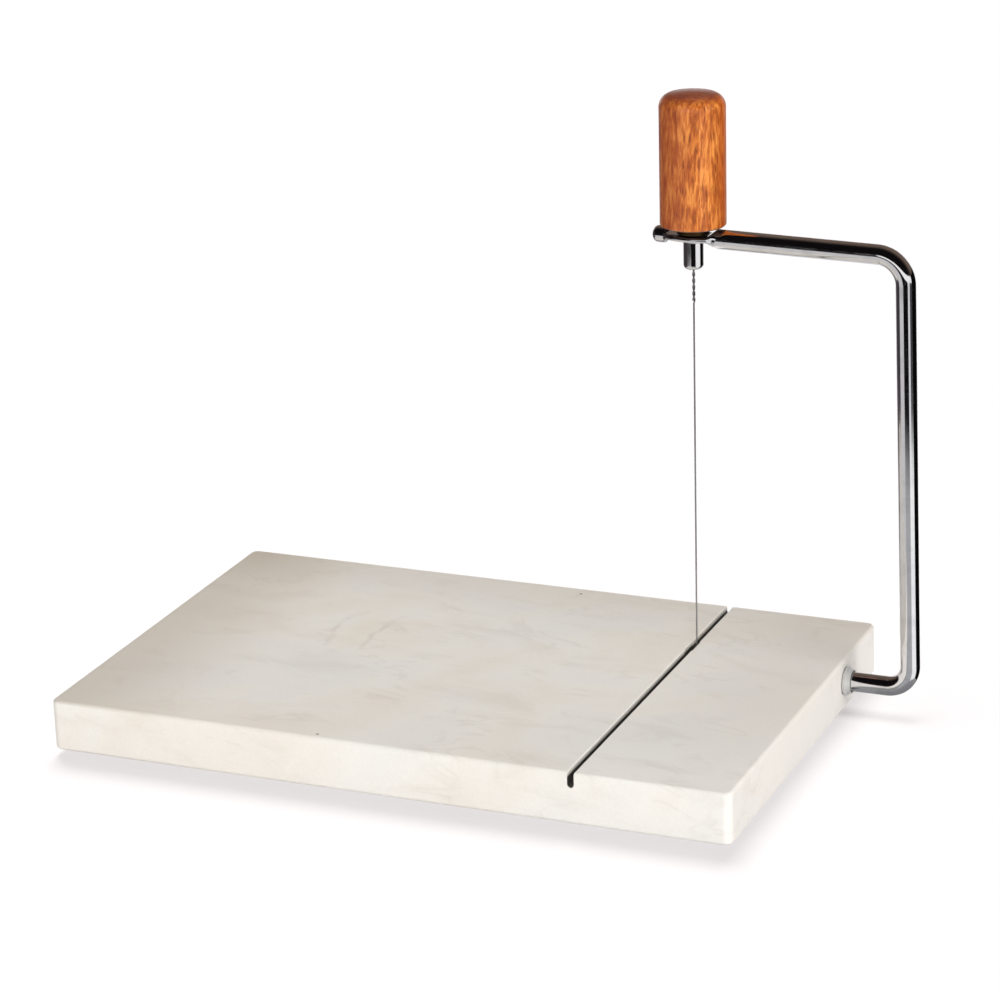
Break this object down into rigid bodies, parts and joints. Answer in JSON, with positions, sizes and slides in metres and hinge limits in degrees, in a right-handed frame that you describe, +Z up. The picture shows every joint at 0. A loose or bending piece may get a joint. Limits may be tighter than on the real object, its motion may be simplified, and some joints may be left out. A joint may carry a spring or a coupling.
{
  "type": "marble cheese slicer",
  "caption": "Stone slab with a wire groove and a hinged bent-rod arm that swings a taut cutting wire down through cheese, worked by an upright wooden handle.",
  "frame": {"origin": "on the table, under the middle of the bounding box", "axes": "+X along the slab towards the arm's upright, -Y the front edge where the wire comes down, +Z up"},
  "size_m": [0.2548, 0.146, 0.2025],
  "materials": {
    "marble": "honed pale beige marble with faint darker veins",
    "chrome": "mirror-bright chromium plate",
    "wire_steel": "drawn stainless steel wire and plain steel",
    "insert_brass": "turned brass",
    "varnished_wood": "reddish orange hardwood, turned and satin varnished",
    "foot_rubber": "matt grey rubber"
  },
  "bodies": {
    "base": {"marble_board": "marble", "pivot_bushing": "chrome", "foot_front_left": "foot_rubber", "foot_front_right": "foot_rubber", "foot_back_left": "foot_rubber", "foot_back_right": "foot_rubber"},
    "arm": {"arm_rod": "chrome"},
    "wire": {"cutting_wire": "wire_steel", "wire_stop": "wire_steel", "wire_ferrule": "chrome", "tension_screw": "wire_steel"},
    "grip": {"handle": "varnished_wood", "handle_insert": "insert_brass"}
  },
  "joints": [
    {"name": "arm_pivot", "type": "hinge", "parent": "base", "child": "arm", "pos_m": [0.0516, 0.0395, 0.0118], "axis": [1, 0, 0], "range_deg": [0, 89.4]},
    {"name": "handle_turn", "type": "hinge", "parent": "arm", "child": "grip", "pos_m": [0.0516, 0.04208, 0.15954], "axis": [0, 0.0175, 0.9998], "range_deg": [0, 720]},
    {"name": "wire_draw", "type": "slide", "parent": "arm", "child": "wire", "axis": [0, -0.0175, -0.9998], "range_m": [0, 0.00141]}
  ],
  "couplings": [
    {"joint": "wire_draw", "follows": "handle_turn", "m_per_rad": 0.00011141}
  ]
}
